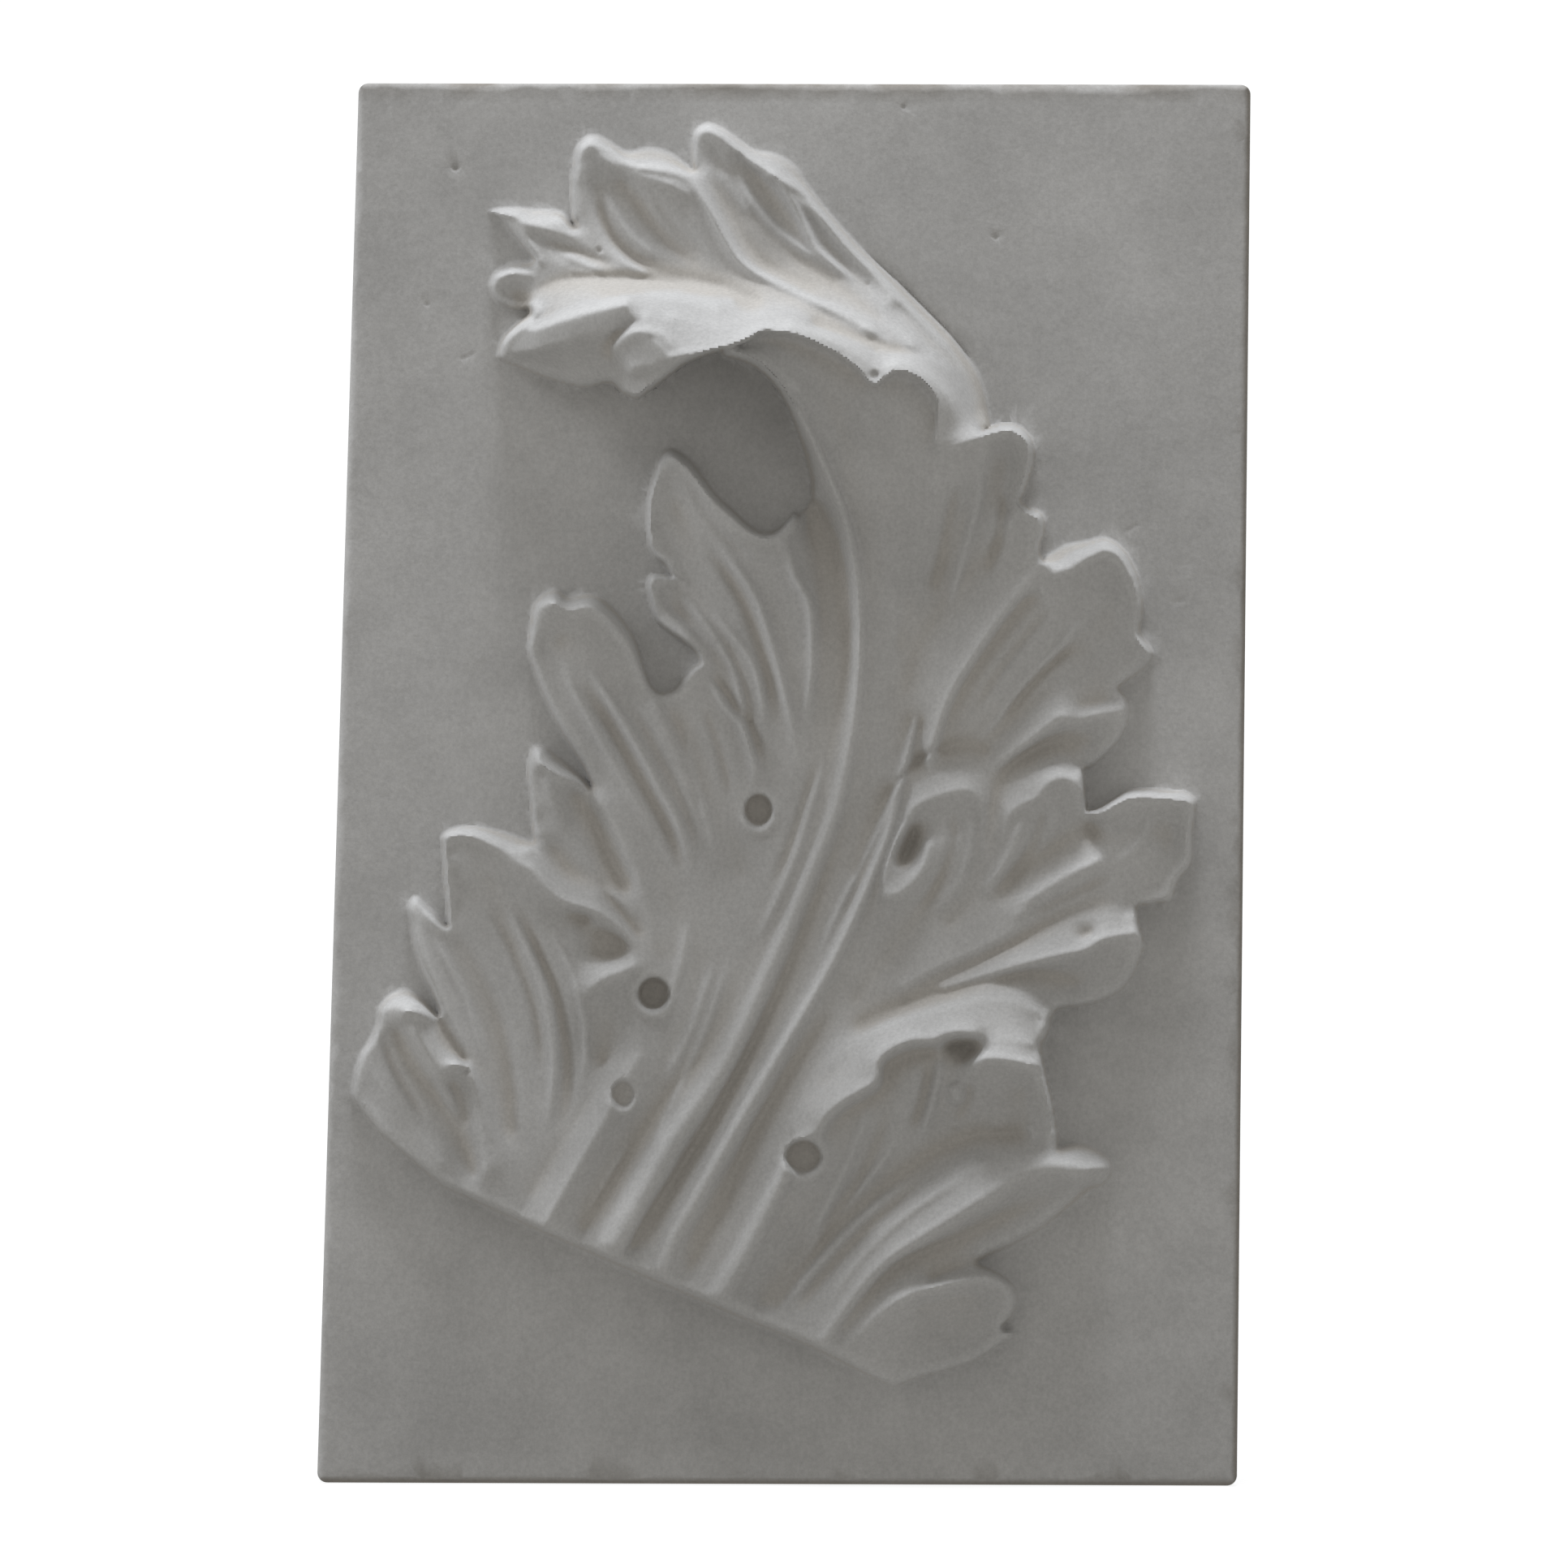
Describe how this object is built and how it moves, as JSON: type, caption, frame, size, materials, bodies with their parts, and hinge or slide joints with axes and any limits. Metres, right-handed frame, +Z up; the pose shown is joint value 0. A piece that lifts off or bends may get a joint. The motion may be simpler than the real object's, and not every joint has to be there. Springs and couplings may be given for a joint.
{
  "type": "acanthus bas-relief",
  "caption": "Upright plaster slab with a large acanthus leaf in high relief, its tip rolled over forwards and its stem cut off at a slant.",
  "frame": {"origin": "middle of the slab's flat back, which lies against the wall", "axes": "+Z up the slab, +Y out of the flat back into the wall, the carved front faces -Y"},
  "size_m": [0.3704, 0.097, 0.56],
  "materials": {
    "plaster": "dry matt grey plaster"
  },
  "bodies": {
    "root": {"acanthus_relief": "plaster"}
  },
  "joints": []
}
